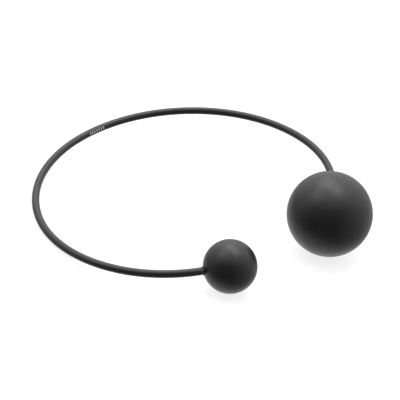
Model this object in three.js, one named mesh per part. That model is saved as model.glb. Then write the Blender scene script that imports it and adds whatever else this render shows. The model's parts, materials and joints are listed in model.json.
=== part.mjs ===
// Case opening friction ball: a springy C-shaped hoop of sleeved wire with a large
// rubber ball on one end and a small one on the other.
// Millimetres, +Z up. The hoop is drawn flat first, with the centre of its main bend
// at the origin and its normal along +Z, then laid down on its three points of rest.
import * as THREE from 'three';

// Hoop centreline. Angles are in degrees round the main bend's centre, from +X.
const MAIN_BEND_RADIUS = 71.4;
const MAIN_BEND_START = 35.3; // side of the large ball
const MAIN_BEND_END = 198.3; // side of the small ball
const END_BEND_RADIUS = 64.2;
const LARGE_END_BEND = 44.1;
const SMALL_END_BEND = 83.9;
const LARGE_END_STRAIGHT = 19.2; // from the end bend to the large ball's centre
const SMALL_END_STRAIGHT = 12.4;

// Wire and the sleeve over it.
const WIRE_RADIUS = 0.9;
const SLEEVE_INNER_RADIUS = 1.2;
const SLEEVE_RADIUS = 1.8;

// The hoop flexes about two points, each this far round from the middle of its back.
const FLEX_HALF_ANGLE = 57;
const FLEX_GAP = 0.8;

// Balls, each with a blind bore for the fitting on its end of the wire.
const LARGE_BALL_RADIUS = 20;
const SMALL_BALL_RADIUS = 12.25;
const BORE_RADIUS = 1.95;
const BORE_DEPTH = 14.2;
const MOUTH_CHAMFER = 0.12;

// End fittings. Depths run along the wire into the ball, from the ball's surface.
const FIT = 0.3;
const FLANGE_RADIUS = 2.1;
const FLANGE_TOP = -0.65;
const FLANGE_BASE = -0.25;
const BUSH_RADIUS = 1.65;
const BUSH_WAIST_RADIUS = 1.45;
const BUSH_BORE_RADIUS = 1.2;
const BUSH_END = 9.2;
const BUSH_RIDGES = 3;
const COLLAR_RADIUS = 1.6;
const COLLAR_LENGTH = 3.6;
const COLLAR_CAP = 0.8;
const COLLAR_START = BUSH_END + FIT;
const WIRE_END = COLLAR_START + COLLAR_LENGTH - COLLAR_CAP - FIT;
const SLEEVE_END = FLANGE_TOP - FIT;

// Facets.
const SLEEVE_STEP = 5.2;
const SLEEVE_CURVE_SEGMENTS = 6; // a circle of an outline gets twice as many sides
const WIRE_CURVE_SEGMENTS = 4;
const BALL_SEGMENTS = 32;
const BALL_RINGS = 16;
const FITTING_SEGMENTS = 20;

const rad = THREE.MathUtils.degToRad;

function materialOf(color, roughness, metalness) {
  return new THREE.MeshStandardMaterial({ color, roughness, metalness });
}

const material = {
  spring_steel: materialOf(0x8d9094, 0.35, 1.0),
  sleeve: materialOf(0x1b1b1c, 0.45, 0.0),
  ball_rubber: materialOf(0x161616, 0.6, 0.0),
  bush_plastic: materialOf(0x2c2c2e, 0.5, 0.0),
  collar_brass: materialOf(0xb08d4a, 0.35, 1.0),
};

const hoop = new THREE.Group();

function addPart(name, geometry, surface) {
  const mesh = new THREE.Mesh(geometry, surface);
  mesh.name = name;
  hoop.add(mesh);
  return mesh;
}

// ---- The centreline ----

const MAIN_LENGTH = MAIN_BEND_RADIUS * rad(MAIN_BEND_END - MAIN_BEND_START);

function onCircle(radius, angle) {
  return new THREE.Vector3(radius * Math.cos(angle), radius * Math.sin(angle), 0);
}

// Point past one end of the main bend: round the end bend, then straight on.
// turn is +1 towards the small ball and -1 towards the large one.
function pointPastBend(startAngle, turn, bend, distance) {
  const start = rad(startAngle);
  const sweep = Math.min(distance / END_BEND_RADIUS, rad(bend));
  const angle = start + turn * sweep;
  const point = onCircle(MAIN_BEND_RADIUS - END_BEND_RADIUS, start);
  point.add(onCircle(END_BEND_RADIUS, angle));
  const straight = distance - END_BEND_RADIUS * sweep;
  return point.add(onCircle(turn * straight, angle + Math.PI / 2));
}

// Point at a distance along the hoop, from 0 where the main bend starts.
function hoopPoint(distance) {
  if (distance < 0) {
    return pointPastBend(MAIN_BEND_START, -1, LARGE_END_BEND, -distance);
  }
  if (distance > MAIN_LENGTH) {
    return pointPastBend(MAIN_BEND_END, 1, SMALL_END_BEND, distance - MAIN_LENGTH);
  }
  return onCircle(MAIN_BEND_RADIUS, rad(MAIN_BEND_START) + distance / MAIN_BEND_RADIUS);
}

class HoopStretch extends THREE.Curve {
  constructor(from, to) {
    super();
    this.from = from;
    this.to = to;
  }

  getPoint(t) {
    return hoopPoint(THREE.MathUtils.lerp(this.from, this.to, t));
  }
}

// One end of the hoop: where its ball sits, and which way the wire runs into it.
function endOf(turn, bendEdge, bend, straight, ballRadius) {
  const toBall = END_BEND_RADIUS * rad(bend) + straight;
  const centre = pointPastBend(bendEdge, turn, bend, toBall);
  const axis = onCircle(turn, rad(bendEdge + turn * bend) + Math.PI / 2);
  return { turn, toBall, centre, axis, ballRadius };
}

const largeEnd = endOf(-1, MAIN_BEND_START, LARGE_END_BEND, LARGE_END_STRAIGHT, LARGE_BALL_RADIUS);
const smallEnd = endOf(1, MAIN_BEND_END, SMALL_END_BEND, SMALL_END_STRAIGHT, SMALL_BALL_RADIUS);

// Distance along the hoop of a depth into an end's ball.
function hoopDistance(end, depth) {
  const pastBend = end.toBall - end.ballRadius + depth;
  return end.turn > 0 ? MAIN_LENGTH + pastBend : -pastBend;
}

// The hoop's back is opposite the gap between the balls.
function backAngle() {
  const gapMiddle = largeEnd.centre.clone().add(smallEnd.centre);
  return Math.atan2(gapMiddle.y, gapMiddle.x) + Math.PI;
}

function flexDistance(angle) {
  return MAIN_BEND_RADIUS * (angle - rad(MAIN_BEND_START));
}

const LARGE_FLEX = flexDistance(backAngle() - rad(FLEX_HALF_ANGLE));
const SMALL_FLEX = flexDistance(backAngle() + rad(FLEX_HALF_ANGLE));

// ---- Wire and sleeve ----

function roundSection(outerRadius, innerRadius) {
  const section = new THREE.Shape();
  section.absarc(0, 0, outerRadius, 0, 2 * Math.PI);
  if (innerRadius > 0) {
    const hollow = new THREE.Path();
    hollow.absarc(0, 0, innerRadius, 0, 2 * Math.PI, true);
    section.holes.push(hollow);
  }
  return section;
}

function alongHoop(section, curveSegments, from, to) {
  return new THREE.ExtrudeGeometry(section, {
    steps: Math.ceil(Math.abs(to - from) / SLEEVE_STEP),
    curveSegments,
    extrudePath: new HoopStretch(from, to),
  });
}

function addStretch(suffix, sleeveFrom, sleeveTo, wireFrom, wireTo) {
  const sleeve = roundSection(SLEEVE_RADIUS, SLEEVE_INNER_RADIUS);
  addPart(
    `sleeve_${suffix}`,
    alongHoop(sleeve, SLEEVE_CURVE_SEGMENTS, sleeveFrom, sleeveTo),
    material.sleeve,
  );
  const wire = roundSection(WIRE_RADIUS, 0);
  addPart(
    `spring_wire_${suffix}`,
    alongHoop(wire, WIRE_CURVE_SEGMENTS, wireFrom, wireTo),
    material.spring_steel,
  );
}

const halfGap = FLEX_GAP / 2;
const backStart = LARGE_FLEX + halfGap;
const backEnd = SMALL_FLEX - halfGap;
const largeArmStart = hoopDistance(largeEnd, SLEEVE_END);
const largeWireStart = hoopDistance(largeEnd, WIRE_END);
const smallArmEnd = hoopDistance(smallEnd, SLEEVE_END);
const smallWireEnd = hoopDistance(smallEnd, WIRE_END);

addStretch('back', backStart, backEnd, backStart, backEnd);
addStretch('large_arm', largeArmStart, LARGE_FLEX - halfGap, largeWireStart, LARGE_FLEX - halfGap);
addStretch('small_arm', SMALL_FLEX + halfGap, smallArmEnd, SMALL_FLEX + halfGap, smallWireEnd);

// ---- Balls and end fittings, turned about the wire's axis ----

// Profiles are lists of [radius, depth], with depth from the ball's surface inwards.
function turned(profile, segments) {
  const points = profile.map(([radius, depth]) => new THREE.Vector2(radius, depth));
  return new THREE.LatheGeometry(points, segments);
}

function ballProfile(radius) {
  const mouthRadius = BORE_RADIUS + MOUTH_CHAMFER;
  const mouthAngle = Math.asin(mouthRadius / radius);
  const mouthDepth = radius * (1 - Math.cos(mouthAngle));
  const profile = [
    [0, BORE_DEPTH],
    [BORE_RADIUS, BORE_DEPTH],
    [BORE_RADIUS, mouthDepth + MOUTH_CHAMFER],
  ];
  for (let ring = 0; ring < BALL_RINGS; ring += 1) {
    const angle = THREE.MathUtils.lerp(mouthAngle, Math.PI, ring / BALL_RINGS);
    profile.push([radius * Math.sin(angle), radius * (1 - Math.cos(angle))]);
  }
  profile.push([0, 2 * radius]);
  return profile;
}

// A flanged bush with rounded ridges that grip the ball's bore.
function bushProfile() {
  const profile = [
    [BUSH_BORE_RADIUS, BUSH_END],
    [BUSH_BORE_RADIUS, FLANGE_TOP],
    [FLANGE_RADIUS, FLANGE_TOP],
    [FLANGE_RADIUS, FLANGE_BASE],
    [BUSH_WAIST_RADIUS, FLANGE_BASE],
  ];
  const pitch = (BUSH_END - FLANGE_BASE) / (BUSH_RIDGES + 1);
  for (let ridge = 1; ridge <= BUSH_RIDGES; ridge += 1) {
    const crest = FLANGE_BASE + ridge * pitch;
    profile.push([BUSH_WAIST_RADIUS, crest - pitch / 3]);
    profile.push([BUSH_RADIUS, crest - pitch / 6]);
    profile.push([BUSH_RADIUS, crest + pitch / 6]);
    profile.push([BUSH_WAIST_RADIUS, crest + pitch / 3]);
  }
  profile.push([BUSH_WAIST_RADIUS, BUSH_END]);
  profile.push([BUSH_BORE_RADIUS, BUSH_END]);
  return profile;
}

// A closed cup pinched on to the tip of the wire, which keeps the bush on it.
function collarProfile() {
  const end = COLLAR_START + COLLAR_LENGTH;
  const rounding = COLLAR_CAP / 2;
  return [
    [0, end - COLLAR_CAP],
    [BUSH_BORE_RADIUS, end - COLLAR_CAP],
    [BUSH_BORE_RADIUS, COLLAR_START],
    [COLLAR_RADIUS, COLLAR_START],
    [COLLAR_RADIUS, end - rounding],
    [COLLAR_RADIUS - rounding, end],
    [0, end],
  ];
}

function addTurned(name, end, profile, segments, surface) {
  const part = addPart(name, turned(profile, segments), surface);
  part.quaternion.setFromUnitVectors(new THREE.Vector3(0, 1, 0), end.axis);
  part.position.copy(end.centre).addScaledVector(end.axis, -end.ballRadius);
}

function addEnd(size, end) {
  const ball = ballProfile(end.ballRadius);
  addTurned(`${size}_ball`, end, ball, BALL_SEGMENTS, material.ball_rubber);
  addTurned(`${size}_ball_bush`, end, bushProfile(), FITTING_SEGMENTS, material.bush_plastic);
  addTurned(`${size}_stop_collar`, end, collarProfile(), FITTING_SEGMENTS, material.collar_brass);
}

addEnd('large', largeEnd);
addEnd('small', smallEnd);

// ---- Lying at rest ----

// The hoop lies on both balls and on the one point of its main bend that is lowest when
// its normal leans by an angle whose sine is lean, towards the direction heading.
// A ball's centre c is then radius above the floor, and the bend's lowest point is
// SLEEVE_RADIUS above it: lean * (c . heading + MAIN_BEND_RADIUS) = radius - SLEEVE_RADIUS.
function restingLean() {
  const largeLift = LARGE_BALL_RADIUS - SLEEVE_RADIUS;
  const smallLift = SMALL_BALL_RADIUS - SLEEVE_RADIUS;
  const share = largeLift / smallLift;
  const between = largeEnd.centre.clone().addScaledVector(smallEnd.centre, -share);
  const offset = Math.acos((MAIN_BEND_RADIUS * (share - 1)) / between.length());
  const heading = Math.atan2(between.y, between.x) - offset;
  const reach = largeEnd.centre.dot(onCircle(1, heading)) + MAIN_BEND_RADIUS;
  return { heading, lean: largeLift / reach };
}

const { heading, lean } = restingLean();
const floorNormal = onCircle(lean, heading).setZ(Math.sqrt(1 - lean * lean));
const laid = new THREE.Group();
laid.add(hoop);
hoop.quaternion.setFromUnitVectors(floorNormal, new THREE.Vector3(0, 0, 1));

// The origin is the middle of the underside of the box round the whole object.
laid.updateMatrixWorld(true);
const box = new THREE.Box3().setFromObject(laid, true);
const middle = box.getCenter(new THREE.Vector3());
laid.position.set(-middle.x, -middle.y, -box.min.z);

export default laid;
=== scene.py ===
import json
import math

import bmesh
import bpy
from mathutils import Matrix, Vector


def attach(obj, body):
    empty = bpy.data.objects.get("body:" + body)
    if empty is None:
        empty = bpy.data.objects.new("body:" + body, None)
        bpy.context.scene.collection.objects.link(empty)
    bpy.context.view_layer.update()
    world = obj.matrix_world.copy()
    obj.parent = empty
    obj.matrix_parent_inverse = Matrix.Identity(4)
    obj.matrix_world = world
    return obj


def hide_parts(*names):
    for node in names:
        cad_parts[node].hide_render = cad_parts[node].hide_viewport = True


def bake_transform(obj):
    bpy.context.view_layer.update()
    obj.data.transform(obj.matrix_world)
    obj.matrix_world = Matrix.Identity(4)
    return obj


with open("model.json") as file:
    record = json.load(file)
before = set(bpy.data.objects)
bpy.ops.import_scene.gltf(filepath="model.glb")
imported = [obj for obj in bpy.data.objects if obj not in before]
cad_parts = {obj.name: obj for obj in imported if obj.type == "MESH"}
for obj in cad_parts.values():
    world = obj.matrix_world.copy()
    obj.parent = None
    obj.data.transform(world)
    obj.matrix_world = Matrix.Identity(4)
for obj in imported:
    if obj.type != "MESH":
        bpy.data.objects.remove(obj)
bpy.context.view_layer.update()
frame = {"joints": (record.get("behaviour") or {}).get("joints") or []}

# Case opening friction ball: a springy hoop of sleeved wire with a rubber ball on each end.
# Metres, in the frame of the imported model.

MM = 0.001

# ---- Driving dimensions of the hoop, as in the CAD part ----

MAIN_BEND_RADIUS = 71.4 * MM
LARGE_SIDE_ARC = math.radians(99.104)  # main bend from the back's middle to each end bend
SMALL_SIDE_ARC = math.radians(63.896)
END_BEND_RADIUS = 64.2 * MM
LARGE_END_BEND = math.radians(44.1)
SMALL_END_BEND = math.radians(83.9)
FLEX_HALF_ANGLE = math.radians(57)

WIRE_RADIUS = 0.9 * MM
SLEEVE_INNER_RADIUS = 1.2 * MM
SLEEVE_RADIUS = 1.8 * MM
LARGE_BALL_RADIUS = 20.0 * MM
SMALL_BALL_RADIUS = 12.25 * MM
BORE_RADIUS = 1.95 * MM
BORE_DEPTH = 14.2 * MM
BUSH_BORE_RADIUS = 1.2 * MM
BUSH_WAIST_RADIUS = 1.45 * MM
BUSH_RADIUS = 1.65 * MM
BUSH_END = 9.2 * MM
FLANGE_RADIUS = 2.1 * MM
FLANGE_TOP = -0.65 * MM
FLANGE_BASE = -0.25 * MM
COLLAR_RADIUS = 1.6 * MM
COLLAR_START = 9.5 * MM
COLLAR_END = 13.1 * MM
COLLAR_CAP = 0.8 * MM
WIRE_TIP = 12.0 * MM
SLEEVE_END = -0.95 * MM

# ---- Where the hoop lies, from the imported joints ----

joints = {joint["name"]: joint for joint in frame["joints"]}
hoop_normal = Vector(joints["large_arm_flex"]["axis"]).normalized()
large_flex = Vector(joints["large_arm_flex"]["pos_m"])
small_flex = Vector(joints["small_arm_flex"]["pos_m"])
small_side = (small_flex - large_flex).normalized()
to_back = small_side.cross(hoop_normal).normalized()
hoop_centre = (large_flex + small_flex) / 2 - to_back * MAIN_BEND_RADIUS * math.cos(FLEX_HALF_ANGLE)


def in_hoop(radius, angle):
    """Vector from the hoop's centre. The angle runs from the back's middle towards the small ball."""
    return radius * (math.cos(angle) * to_back + math.sin(angle) * small_side)


class Side:
    """One side of the hoop, from the middle of its back to the ball on its end."""

    def __init__(self, name, turn, arc, bend, ball_radius):
        self.name = name
        self.turn = turn
        self.arc = arc
        self.bend = bend
        self.arm = f"{name}_ball_arm"
        twist = joints[f"{name}_ball_twist"]
        self.ball_centre = Vector(twist["pos_m"])
        self.axis = Vector(twist["axis"]).normalized()
        self.ball_radius = ball_radius
        self.mouth = self.ball_centre - self.axis * self.ball_radius
        bend_end, _ = self.at(self.curved_length())
        straight = (self.ball_centre - bend_end).length
        self.mouth_distance = self.curved_length() + straight - self.ball_radius

    def curved_length(self):
        return MAIN_BEND_RADIUS * self.arc + END_BEND_RADIUS * self.bend

    def at(self, distance):
        """Point on the centreline at a distance from the back's middle, and its outward direction."""
        main_length = MAIN_BEND_RADIUS * self.arc
        if distance <= main_length:
            angle = self.turn * distance / MAIN_BEND_RADIUS
            return hoop_centre + in_hoop(MAIN_BEND_RADIUS, angle), in_hoop(1, angle)
        edge = self.turn * self.arc
        sweep = min((distance - main_length) / END_BEND_RADIUS, self.bend)
        angle = edge + self.turn * sweep
        point = hoop_centre + in_hoop(MAIN_BEND_RADIUS - END_BEND_RADIUS, edge)
        point += in_hoop(END_BEND_RADIUS, angle)
        straight = distance - main_length - END_BEND_RADIUS * sweep
        point += straight * self.turn * in_hoop(1, angle + math.pi / 2)
        return point, in_hoop(1, angle)

    def blend(self, piece):
        """Bakes the piece's placement into its points. The blend's ends, at the back's middle and at twice
        the flex point's angle, are found but not used.
        """
        start, _ = self.at(0)
        end, _ = self.at(2 * FLEX_HALF_ANGLE * MAIN_BEND_RADIUS)
        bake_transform(piece)


# ---- Mesh helpers ----


SHARP_ANGLE = math.radians(38)  # edges that turn more than this are shaded as sharp


def new_mesh(name, points, faces, material):
    """A smooth-shaded mesh object, linked to the scene."""
    mesh = bpy.data.meshes.new(name)
    mesh.from_pydata([tuple(point) for point in points], [], faces)
    mesh.validate()
    mesh.polygons.foreach_set("use_smooth", [True] * len(mesh.polygons))
    mesh.set_sharp_from_angle(angle=SHARP_ANGLE)
    piece = bpy.data.objects.new(name, mesh)
    bpy.context.scene.collection.objects.link(piece)
    mesh.materials.append(material)
    return piece


def ring_faces(rings, sides, closed):
    """Quads that join each ring of points to the next, and the last to the first when closed."""
    faces = []
    for ring in range(rings if closed else rings - 1):
        here = ring * sides
        there = (ring + 1) % rings * sides
        for side in range(sides):
            after = (side + 1) % sides
            faces.append((here + side, here + after, there + after, there + side))
    return faces


def arc_points(centre, radius, start, end, steps):
    """Points on an arc in a profile, both ends included. Angles are in degrees."""
    points = []
    for step in range(steps + 1):
        angle = math.radians(start + (end - start) * step / steps)
        points.append((centre[0] + radius * math.cos(angle), centre[1] + radius * math.sin(angle)))
    return points


def rounded(corners, radius, steps=4):
    """The outline with each corner replaced by a small curve, apart from those on the axis."""
    outline = []
    for index, corner in enumerate(corners):
        here = Vector(corner)
        if here.x < 1e-9:
            outline.append(here)
            continue
        before = Vector(corners[index - 1]) - here
        after = Vector(corners[(index + 1) % len(corners)]) - here
        reach = min(radius, before.length * 0.45, after.length * 0.45)
        start = here + before.normalized() * reach
        end = here + after.normalized() * reach
        for step in range(steps + 1):
            t = step / steps
            outline.append((1 - t) ** 2 * start + 2 * t * (1 - t) * here + t**2 * end)
    return outline


def turned(name, side, profile, segments, material):
    """A body turned about the wire's axis. The profile is (radius, depth from the ball's surface)."""
    across = side.axis.cross(hoop_normal).normalized()
    points = []
    rings = []
    for radius, depth in profile:
        centre = side.mouth + side.axis * depth
        if radius < 1e-9:
            rings.append([len(points)] * segments)
            points.append(centre)
            continue
        rings.append(list(range(len(points), len(points) + segments)))
        for segment in range(segments):
            angle = math.tau * segment / segments
            out = math.cos(angle) * across + math.sin(angle) * hoop_normal
            points.append(centre + radius * out)
    on_axis = profile[0][0] < 1e-9
    faces = []
    for index in range(len(rings) - 1 if on_axis else len(rings)):
        here = rings[index]
        there = rings[(index + 1) % len(rings)]
        for segment in range(segments):
            after = (segment + 1) % segments
            corners = [here[segment], here[after], there[after], there[segment]]
            face = [c for spot, c in enumerate(corners) if c not in corners[:spot]]
            faces.append(tuple(face))
    piece = new_mesh(name, points, faces, material)
    fix_normals(piece)
    return piece


def fix_normals(piece):
    """Turns the faces of a closed mesh outwards."""
    work = bmesh.new()
    work.from_mesh(piece.data)
    bmesh.ops.recalc_face_normals(work, faces=work.faces)
    work.to_mesh(piece.data)
    work.free()


def along_side(name, side, rings, sides, hollow, material):
    """A hollow tube or a solid rod along one side of the hoop.

    Each ring is a distance along the side and a radius. A tube's last ring joins its first.
    """
    points = []
    coords = []
    for distance, radius in rings:
        centre, outward = side.at(distance)
        for index in range(sides):
            angle = math.tau * index / sides
            out = math.cos(angle) * outward + math.sin(angle) * hoop_normal
            points.append(centre + radius * out)
            coords.append((side.turn * distance, radius * math.cos(angle), radius * math.sin(angle)))
    faces = ring_faces(len(rings), sides, hollow)
    if not hollow:
        faces.append(tuple(range(sides)))
        faces.append(tuple(range(len(points) - sides, len(points))))
    piece = new_mesh(name, points, faces, material)
    fix_normals(piece)
    lay_coordinates(piece, coords)
    return piece


def lay_coordinates(piece, coords):
    """Stores where each point lies on the straightened hoop, for the material's pattern."""
    layer = piece.data.attributes.new("laid_straight", "FLOAT_VECTOR", "POINT")
    layer.data.foreach_set("vector", [value for point in coords for value in point])


RING_STEP = 1.0 * MM


def even_rings(start, end, radius):
    """Rings of one radius from start to end, both included, about one step apart."""
    count = max(2, round(abs(end - start) / RING_STEP))
    return [(start + (end - start) * index / count, radius) for index in range(count + 1)]


def tube_rings(end, outer, inner, edge, edge_steps=4):
    """Out along the outside, over the rounded edge of the far end, and back along the inside."""
    rings = even_rings(0, end - edge, outer)
    for step in range(1, edge_steps + 1):
        angle = math.pi / 2 * step / edge_steps
        rings.append((end - edge * (1 - math.sin(angle)), outer - edge * (1 - math.cos(angle))))
    return rings + even_rings(end, 0, inner)


def rod_rings(end, radius, chamfer):
    """A rod from the back's middle to a chamfered tip."""
    return even_rings(0, end - chamfer, radius) + [(end, radius - chamfer)]


# ---- Materials ----


class Nodes:
    """A short way to write a material's node tree."""

    def __init__(self, name):
        self.material = bpy.data.materials.new(name)
        self.material.use_nodes = True
        self.tree = self.material.node_tree
        self.shader = self.tree.nodes["Principled BSDF"]

    def add(self, kind, **inputs):
        node = self.tree.nodes.new(kind)
        for key, value in inputs.items():
            self.feed(node.inputs[key.replace("_", " ")], value)
        return node

    def feed(self, socket, value):
        if isinstance(value, bpy.types.NodeSocket):
            self.tree.links.new(value, socket)
        else:
            socket.default_value = value

    def set(self, **inputs):
        for key, value in inputs.items():
            self.feed(self.shader.inputs[key.replace("_", " ")], value)

    def place(self, attribute=None, stretch=(1, 1, 1)):
        """Pattern coordinates in metres: the object's own, or a stored attribute's."""
        if attribute:
            source = self.tree.nodes.new("ShaderNodeAttribute")
            source.attribute_name = attribute
            vector = source.outputs["Vector"]
        else:
            vector = self.tree.nodes.new("ShaderNodeTexCoord").outputs["Object"]
        mapping = self.add("ShaderNodeMapping", Vector=vector)
        mapping.inputs["Scale"].default_value = stretch
        return mapping.outputs["Vector"]

    def noise(self, place, feature, detail=3.0, roughness=0.5):
        """Noise whose features are about this many metres across."""
        node = self.add("ShaderNodeTexNoise", Vector=place, Scale=1 / feature, Detail=detail)
        node.inputs["Roughness"].default_value = roughness
        return node.outputs["Fac"]

    def between(self, factor, low, high, start=0.0, end=1.0):
        """Maps a factor from start..end to low..high."""
        node = self.tree.nodes.new("ShaderNodeMapRange")
        node.inputs["From Min"].default_value = start
        node.inputs["From Max"].default_value = end
        node.inputs["To Min"].default_value = low
        node.inputs["To Max"].default_value = high
        self.tree.links.new(factor, node.inputs["Value"])
        return node.outputs["Result"]

    def math(self, operation, first, second):
        node = self.tree.nodes.new("ShaderNodeMath")
        node.operation = operation
        self.feed(node.inputs[0], first)
        self.feed(node.inputs[1], second)
        return node.outputs["Value"]

    def mix_colour(self, factor, first, second):
        node = self.tree.nodes.new("ShaderNodeMix")
        node.data_type = "RGBA"
        self.feed(node.inputs["Factor"], factor)
        self.feed(node.inputs["A"], (*first, 1) if isinstance(first, tuple) else first)
        self.feed(node.inputs["B"], (*second, 1) if isinstance(second, tuple) else second)
        return node.outputs["Result"]

    def bump(self, height, distance, strength=1.0, normal=None):
        node = self.add("ShaderNodeBump", Height=height, Distance=distance, Strength=strength)
        if normal is not None:
            self.tree.links.new(normal, node.inputs["Normal"])
        return node.outputs["Normal"]


def grey(value):
    return (value, value, value)


def ball_rubber():
    """Matt moulded rubber: fine grain, cloudy sheen, a little dust bloom and light scuffs."""
    nodes = Nodes("ball_rubber")
    place = nodes.place()
    cloud = nodes.noise(place, 9 * MM, detail=4)
    skin = nodes.noise(place, 1.6 * MM, detail=3)
    grain = nodes.noise(place, 0.25 * MM, detail=2)
    specks = nodes.noise(place, 0.5 * MM, detail=1)
    dust = nodes.between(specks, 0, 1, 0.69, 0.75)
    scuff_place = nodes.place(stretch=(1, 1, 7))
    scuffs = nodes.between(nodes.noise(scuff_place, 6 * MM, detail=5, roughness=0.7), 0, 1, 0.6, 0.72)
    base = nodes.mix_colour(cloud, grey(0.0042), grey(0.0068))
    base = nodes.mix_colour(nodes.math("MULTIPLY", dust, 0.25), base, grey(0.05))
    base = nodes.mix_colour(nodes.math("MULTIPLY", scuffs, 0.12), base, grey(0.03))
    roughness = nodes.between(cloud, 0.33, 0.42, 0.3, 0.7)
    roughness = nodes.math("ADD", roughness, nodes.math("MULTIPLY", scuffs, 0.06))
    fine = nodes.bump(grain, 0.018 * MM)
    normal = nodes.bump(skin, 0.03 * MM, normal=fine)
    nodes.set(Base_Color=base, Roughness=roughness, Normal=normal)
    return nodes.material


def sleeve_rubber():
    """Drawn sleeving: satin black, with faint draw lines along it and soft rub marks."""
    nodes = Nodes("sleeve")
    place = nodes.place("laid_straight")
    along = nodes.place("laid_straight", stretch=(0.06, 1, 1))
    cloud = nodes.noise(place, 5 * MM, detail=4)
    lines = nodes.noise(along, 0.35 * MM, detail=2)
    grain = nodes.noise(place, 0.16 * MM, detail=2)
    rubs = nodes.between(nodes.noise(place, 3.2 * MM, detail=5, roughness=0.7), 0, 1, 0.62, 0.74)
    base = nodes.mix_colour(cloud, grey(0.006), grey(0.010))
    base = nodes.mix_colour(nodes.math("MULTIPLY", rubs, 0.15), base, grey(0.04))
    roughness = nodes.between(lines, 0.34, 0.44, 0.3, 0.7)
    fine = nodes.bump(grain, 0.012 * MM)
    normal = nodes.bump(lines, 0.03 * MM, normal=fine)
    nodes.set(Base_Color=base, Roughness=roughness, Normal=normal)
    return nodes.material


def spring_steel():
    """Drawn wire: bright steel with fine lines along it and a trace of darker oil film."""
    nodes = Nodes("spring_steel")
    place = nodes.place("laid_straight")
    along = nodes.place("laid_straight", stretch=(0.03, 1, 1))
    lines = nodes.noise(along, 0.12 * MM, detail=3)
    film = nodes.noise(place, 2.5 * MM, detail=4)
    base = nodes.mix_colour(film, (0.42, 0.43, 0.45), (0.60, 0.61, 0.62))
    roughness = nodes.between(lines, 0.22, 0.40, 0.3, 0.7)
    normal = nodes.bump(lines, 0.006 * MM, 0.5)
    nodes.set(Base_Color=base, Roughness=roughness, Normal=normal, Metallic=1.0)
    return nodes.material


def bush_plastic():
    """Black moulded plastic with a fine moulded texture."""
    nodes = Nodes("bush_plastic")
    place = nodes.place()
    cloud = nodes.noise(place, 1.5 * MM, detail=3)
    grain = nodes.noise(place, 0.10 * MM, detail=2)
    base = nodes.mix_colour(cloud, grey(0.035), grey(0.055))
    roughness = nodes.between(grain, 0.38, 0.52, 0.3, 0.7)
    normal = nodes.bump(grain, 0.004 * MM, 0.5)
    nodes.set(Base_Color=base, Roughness=roughness, Normal=normal)
    nodes.set(Specular_IOR_Level=0.45)
    return nodes.material


def collar_brass():
    """Turned brass: fine turning rings and a light brown tarnish in patches."""
    nodes = Nodes("collar_brass")
    place = nodes.place()
    tarnish = nodes.between(nodes.noise(place, 1.2 * MM, detail=4), 0, 1, 0.42, 0.66)
    lines = nodes.noise(place, 0.09 * MM, detail=2)
    base = nodes.mix_colour(tarnish, (0.78, 0.60, 0.30), (0.52, 0.36, 0.16))
    roughness = nodes.between(tarnish, 0.24, 0.42)
    normal = nodes.bump(lines, 0.004 * MM, 0.5)
    nodes.set(Base_Color=base, Roughness=roughness, Normal=normal, Metallic=1.0)
    return nodes.material


def mark_ink():
    """Pad-printed pale ink, a little worn."""
    nodes = Nodes("mark_ink")
    wear = nodes.noise(nodes.place("laid_straight"), 0.25 * MM, detail=3)
    base = nodes.mix_colour(nodes.between(wear, 0, 1, 0.35, 0.65), grey(0.40), grey(0.60))
    nodes.set(Base_Color=base, Roughness=nodes.between(wear, 0.5, 0.65))
    nodes.set(Specular_IOR_Level=0.3)
    return nodes.material


def floor_white():
    """Plain matt sheet, lit from behind."""
    nodes = Nodes("floor_sheet")
    cloud = nodes.noise(nodes.place(), 0.4, detail=2)
    base = nodes.mix_colour(cloud, grey(FLOOR_TONE), grey(FLOOR_TONE * 1.02))
    nodes.set(Base_Color=base, Roughness=0.9, Emission_Color=(1, 1, 1, 1))
    nodes.set(Emission_Strength=FLOOR_GLOW, Specular_IOR_Level=0.1)
    return nodes.material


# ---- Pieces ----

SLEEVE_SIDES = 56
SLEEVE_EDGE = 0.18 * MM
WIRE_SIDES = 28
WIRE_CHAMFER = 0.2 * MM


def make_sleeve(side, material):
    end = side.mouth_distance + SLEEVE_END
    rings = tube_rings(end, SLEEVE_RADIUS, SLEEVE_INNER_RADIUS, SLEEVE_EDGE)
    piece = along_side(f"sleeve_{side.name}_side", side, rings, SLEEVE_SIDES, True, material)
    side.blend(piece)
    return piece


def make_wire(side, material):
    end = side.mouth_distance + WIRE_TIP
    rings = rod_rings(end, WIRE_RADIUS, WIRE_CHAMFER)
    piece = along_side(f"spring_wire_{side.name}_side", side, rings, WIRE_SIDES, False, material)
    side.blend(piece)
    return piece


BALL_SEGMENTS = 160
BALL_RINGS = 110
LIP_RADIUS = 0.15 * MM
BORE_FLOOR_ROUND = 0.5 * MM
SEAM_HEIGHT = 0.025 * MM
SEAM_WIDTH = 0.40 * MM
SEAM_RINGS = 9
SEAM_SPREAD = 3  # how many widths each side of the seam get finer rings


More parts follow.
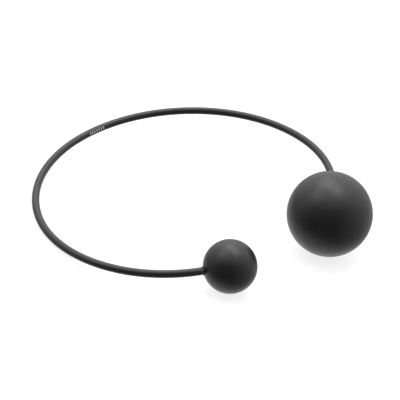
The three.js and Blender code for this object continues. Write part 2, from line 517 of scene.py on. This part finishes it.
def ball_profile(radius):
    """From the bore's floor, out over the lip, round the ball and its moulding seam to the far pole."""
    lip_centre = BORE_RADIUS + LIP_RADIUS
    lip_depth = radius - math.sqrt((radius - LIP_RADIUS) ** 2 - lip_centre**2)
    start = math.asin(lip_centre / (radius - LIP_RADIUS))
    profile = [(0, BORE_DEPTH)]
    round_centre = (BORE_RADIUS - BORE_FLOOR_ROUND, BORE_DEPTH - BORE_FLOOR_ROUND)
    profile += arc_points(round_centre, BORE_FLOOR_ROUND, 90, 0, 5)
    profile += [(BORE_RADIUS, BORE_DEPTH * share) for share in (0.75, 0.5, 0.25)]
    profile += arc_points((lip_centre, lip_depth), LIP_RADIUS, 180, 270 + math.degrees(start), 8)
    angles = [start + (math.pi - start) * ring / BALL_RINGS for ring in range(1, BALL_RINGS)]
    reach = SEAM_SPREAD * SEAM_WIDTH / radius
    angles = [angle for angle in angles if abs(angle - math.pi / 2) > reach]
    for ring in range(-SEAM_RINGS, SEAM_RINGS + 1):
        angles.append(math.pi / 2 + reach * ring / SEAM_RINGS)
    for angle in sorted(angles):
        off_seam = (angle - math.pi / 2) * radius / SEAM_WIDTH
        swell = radius + SEAM_HEIGHT * math.exp(-(off_seam**2))
        profile.append((swell * math.sin(angle), radius - swell * math.cos(angle)))
    profile.append((0, 2 * radius))
    return profile


def make_ball(side, material):
    profile = ball_profile(side.ball_radius)
    piece = turned(f"{side.name}_rubber_ball", side, profile, BALL_SEGMENTS, material)
    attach(piece, f"{side.name}_ball")
    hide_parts(f"{side.name}_ball")


FITTING_SEGMENTS = 72
BUSH_RIDGES = 3
BUSH_EDGE = 0.14 * MM


def bush_corners():
    corners = [
        (BUSH_BORE_RADIUS, BUSH_END),
        (BUSH_BORE_RADIUS, FLANGE_TOP),
        (FLANGE_RADIUS, FLANGE_TOP),
        (FLANGE_RADIUS, FLANGE_BASE),
        (BUSH_WAIST_RADIUS, FLANGE_BASE),
    ]
    pitch = (BUSH_END - FLANGE_BASE) / (BUSH_RIDGES + 1)
    for ridge in range(1, BUSH_RIDGES + 1):
        crest = FLANGE_BASE + ridge * pitch
        corners.append((BUSH_WAIST_RADIUS, crest - pitch / 3))
        corners.append((BUSH_RADIUS, crest - pitch / 6))
        corners.append((BUSH_RADIUS, crest + pitch / 6))
        corners.append((BUSH_WAIST_RADIUS, crest + pitch / 3))
    corners.append((BUSH_WAIST_RADIUS, BUSH_END))
    return corners


def make_bush(side, material):
    profile = rounded(bush_corners(), BUSH_EDGE)
    piece = turned(f"{side.name}_flanged_bush", side, profile, FITTING_SEGMENTS, material)
    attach(piece, f"{side.name}_bush")
    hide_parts(f"{side.name}_ball_bush")


CRIMP_OFFSET = 0.45 * MM  # each of the two pinched bands, from the middle between them
CRIMP_DEPTH = 0.08 * MM
CRIMP_FLOOR = 0.08 * MM  # half the width of the band's floor
CRIMP_MOUTH = 0.22 * MM  # half its width at the surface
CRIMPS_BACK = 0.3 * MM  # how far the pair sits from the collar's middle, away from its tip
COLLAR_CHAMFER = 0.4 * MM
COLLAR_EDGE = 0.1 * MM


def collar_corners():
    corners = [
        (0, COLLAR_END - COLLAR_CAP),
        (BUSH_BORE_RADIUS, COLLAR_END - COLLAR_CAP),
        (BUSH_BORE_RADIUS, COLLAR_START),
        (COLLAR_RADIUS, COLLAR_START),
    ]
    pinched = COLLAR_RADIUS - CRIMP_DEPTH
    middle = (COLLAR_START + COLLAR_END) / 2 - CRIMPS_BACK
    for crimp in (middle - CRIMP_OFFSET, middle + CRIMP_OFFSET):
        corners.append((COLLAR_RADIUS, crimp - CRIMP_MOUTH))
        corners.append((pinched, crimp - CRIMP_FLOOR))
        corners.append((pinched, crimp + CRIMP_FLOOR))
        corners.append((COLLAR_RADIUS, crimp + CRIMP_MOUTH))
    corners.append((COLLAR_RADIUS, COLLAR_END - COLLAR_CHAMFER))
    corners.append((COLLAR_RADIUS - COLLAR_CHAMFER, COLLAR_END))
    corners.append((0, COLLAR_END))
    return corners


def make_collar(side, material):
    profile = rounded(collar_corners(), COLLAR_EDGE)
    piece = turned(f"{side.name}_crimped_collar", side, profile, FITTING_SEGMENTS, material)
    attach(piece, side.arm)
    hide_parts(f"{side.name}_stop_collar")


# A generic row of plain printed bars, on the inner face of the back.
MARK_BARS = 7
MARK_START = 2.2 * MM
MARK_PITCH = 1.4 * MM
MARK_BAR = 0.5 * MM
MARK_HEIGHT = 1.35 * MM
MARK_TURN = math.radians(160)  # round the sleeve, from its outer side over the top
INK = 0.02 * MM
BAR_STEPS = 8


def make_mark(side, material):
    points = []
    coords = []
    faces = []
    for bar in range(MARK_BARS):
        start = MARK_START + bar * MARK_PITCH
        for radius in (SLEEVE_RADIUS - INK, SLEEVE_RADIUS + INK):
            for distance in (start, start + MARK_BAR):
                centre, outward = side.at(distance)
                for step in range(BAR_STEPS + 1):
                    angle = MARK_TURN + MARK_HEIGHT / SLEEVE_RADIUS * (step / BAR_STEPS - 0.5)
                    out = math.cos(angle) * outward + math.sin(angle) * hoop_normal
                    points.append(centre + radius * out)
                    coords.append((side.turn * distance, radius * math.cos(angle), radius * math.sin(angle)))
        faces += bar_faces(bar * 4 * (BAR_STEPS + 1))
    piece = new_mesh("printed_mark", points, faces, material)
    fix_normals(piece)
    lay_coordinates(piece, coords)
    side.blend(piece)


def bar_faces(first):
    """Faces of one bar: rows 0 and 1 are its underside's long edges, rows 2 and 3 its top's."""
    row = BAR_STEPS + 1
    low_near, low_far, top_near, top_far = (first + row * index for index in range(4))
    faces = []
    for one, other in ((low_near, low_far), (top_near, top_far), (low_near, top_near), (low_far, top_far)):
        for step in range(BAR_STEPS):
            faces.append((one + step, one + step + 1, other + step + 1, other + step))
    for step in (0, BAR_STEPS):
        faces.append((low_near + step, low_far + step, top_far + step, top_near + step))
    return faces


sides = [
    Side("large", -1, LARGE_SIDE_ARC, LARGE_END_BEND, LARGE_BALL_RADIUS),
    Side("small", 1, SMALL_SIDE_ARC, SMALL_END_BEND, SMALL_BALL_RADIUS),
]

rubber = ball_rubber()
sleeve_material = sleeve_rubber()
steel = spring_steel()
plastic = bush_plastic()
brass = collar_brass()

for side in sides:
    make_sleeve(side, sleeve_material)
    make_wire(side, steel)
    make_ball(side, rubber)
    make_bush(side, plastic)
    make_collar(side, brass)
make_mark(sides[0], mark_ink())

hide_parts("sleeve_large_arm", "sleeve_back")
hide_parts("sleeve_small_arm")
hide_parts("spring_wire_large_arm", "spring_wire_back")
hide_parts("spring_wire_small_arm")

# ---- Floor, light and camera ----

FLOOR_SIZE = 6.0
FLOOR_DROP = 0.02 * MM
FLOOR_TONE = 0.30
FLOOR_GLOW = 0.80
BACKDROP_HEIGHT = 2.5
BACKDROP_SIDES = 96
BACKDROP_GLOW = 1.05


def make_floor():
    """A pale sheet lit from behind as well, so that shadows on it stay faint."""
    half = FLOOR_SIZE / 2
    corners = [(-half, -half, 0), (half, -half, 0), (half, half, 0), (-half, half, 0)]
    floor = new_mesh("floor", corners, [(0, 1, 2, 3)], floor_white())
    floor.location.z = -FLOOR_DROP
    floor.visible_glossy = False


def backdrop_white():
    """Plain evenly lit paper, a shade brighter than the floor under it."""
    nodes = Nodes("backdrop_paper")
    cloud = nodes.noise(nodes.place(), 0.6, detail=2)
    nodes.set(Base_Color=(0, 0, 0, 1), Roughness=1.0, Emission_Color=(1, 1, 1, 1))
    nodes.set(Emission_Strength=nodes.between(cloud, BACKDROP_GLOW, BACKDROP_GLOW * 1.02))
    return nodes.material


def make_backdrop():
    """A round wall that only the camera sees, so the studio's light passes through it."""
    reach = FLOOR_SIZE / 2
    points = []
    for height in (-FLOOR_DROP, BACKDROP_HEIGHT):
        for side in range(BACKDROP_SIDES):
            angle = math.tau * side / BACKDROP_SIDES
            points.append((reach * math.cos(angle), reach * math.sin(angle), height))
    faces = ring_faces(2, BACKDROP_SIDES, False)
    backdrop = new_mesh("backdrop", points, faces, backdrop_white())
    backdrop.visible_diffuse = False
    backdrop.visible_glossy = False
    backdrop.visible_shadow = False


def direction(azimuth, elevation):
    """Unit vector from angles in degrees. The azimuth runs from the back towards the right."""
    level = math.cos(math.radians(elevation))
    turn = math.radians(azimuth)
    return Vector((math.sin(turn) * level, math.cos(turn) * level, math.sin(math.radians(elevation))))


# Azimuth and elevation in degrees, diameter in metres, and the radiance of the light's face.
SOFTBOX_DISTANCE = 0.85
SOFTBOXES = {
    "back_softbox": (-11, 60, 0.45, 3.0),
    "right_softbox": (59, 75, 0.39, 3.0),
    "left_softbox": (-88, 58, 0.36, 2.0),
}


def softbox(name, azimuth, elevation, diameter, radiance):
    """A round soft light, aimed at the object."""
    data = bpy.data.lights.new(name, "AREA")
    data.shape = "DISK"
    data.size = diameter
    data.energy = radiance * math.pi * math.pi * diameter**2 / 4
    light = bpy.data.objects.new(name, data)
    bpy.context.scene.collection.objects.link(light)
    light.location = direction(azimuth, elevation) * SOFTBOX_DISTANCE
    light.rotation_euler = (-light.location).to_track_quat("-Z", "Y").to_euler()


# The studio round the object, as soft patches of light: azimuth and elevation of the middle,
# how far out each one fades to nothing, all in degrees, and its brightness in the middle.
SURROUND = 0.13
PATCHES = {
    "ceiling_diffuser": (-6, 68, 83, 1.0),
    "far_wall": (15, 25, 120, 0.68),
    "left_wall": (-88, 12, 38, 0.28),
    "right_wall": (107, -3, 67, 0.28),
    "lit_table": (-43, -74, 67, 0.80),
}


def soft_surroundings():
    world = bpy.data.worlds.new("studio")
    bpy.context.scene.world = world
    world.use_nodes = True
    nodes = world.node_tree.nodes
    links = world.node_tree.links
    background = nodes["Background"]
    look = nodes.new("ShaderNodeTexCoord").outputs["Generated"]
    total = None
    for name, (azimuth, elevation, reach, brightness) in PATCHES.items():
        towards = nodes.new("ShaderNodeVectorMath")
        towards.operation = "DOT_PRODUCT"
        towards.inputs[1].default_value = direction(azimuth, elevation)
        links.new(look, towards.inputs[0])
        fade = nodes.new("ShaderNodeMapRange")
        fade.name = name
        fade.interpolation_type = "SMOOTHSTEP"
        fade.inputs["From Min"].default_value = math.cos(math.radians(reach))
        fade.inputs["From Max"].default_value = 1.0
        fade.inputs["To Min"].default_value = 0.0
        fade.inputs["To Max"].default_value = brightness
        links.new(towards.outputs["Value"], fade.inputs["Value"])
        add = nodes.new("ShaderNodeMath")
        add.operation = "ADD"
        add.inputs[1].default_value = SURROUND
        if total is not None:
            links.new(total, add.inputs[1])
        links.new(fade.outputs["Result"], add.inputs[0])
        total = add.outputs["Value"]
    links.new(total, background.inputs["Strength"])
    background.inputs["Color"].default_value = (1, 1, 1, 1)


CAMERA_TARGET = Vector((-0.51, -13.14, 15.07)) * MM
CAMERA_AZIMUTH = math.radians(5.19)
CAMERA_ELEVATION = math.radians(32.23)
CAMERA_ROLL = math.radians(7.34)
CAMERA_DISTANCE = 763.1 * MM
CAMERA_LENS = 146.76
SENSOR_WIDTH = 36.0
CLIP_START = 0.01


def make_camera():
    level = math.cos(CAMERA_ELEVATION)
    forward = Vector(
        (
            math.sin(CAMERA_AZIMUTH) * level,
            math.cos(CAMERA_AZIMUTH) * level,
            -math.sin(CAMERA_ELEVATION),
        )
    )
    data = bpy.data.cameras.new("camera")
    data.lens = CAMERA_LENS
    data.sensor_width = SENSOR_WIDTH
    data.clip_start = CLIP_START
    camera = bpy.data.objects.new("camera", data)
    bpy.context.scene.collection.objects.link(camera)
    turn = forward.to_track_quat("-Z", "Y").to_matrix().to_4x4()
    roll = Matrix.Rotation(CAMERA_ROLL, 4, "Z")
    camera.matrix_world = Matrix.Translation(CAMERA_TARGET - forward * CAMERA_DISTANCE) @ turn @ roll
    bpy.context.scene.camera = camera


make_floor()
make_backdrop()
soft_surroundings()
for name, setting in SOFTBOXES.items():
    softbox(name, *setting)
make_camera()
bpy.context.scene.view_settings.view_transform = "Standard"
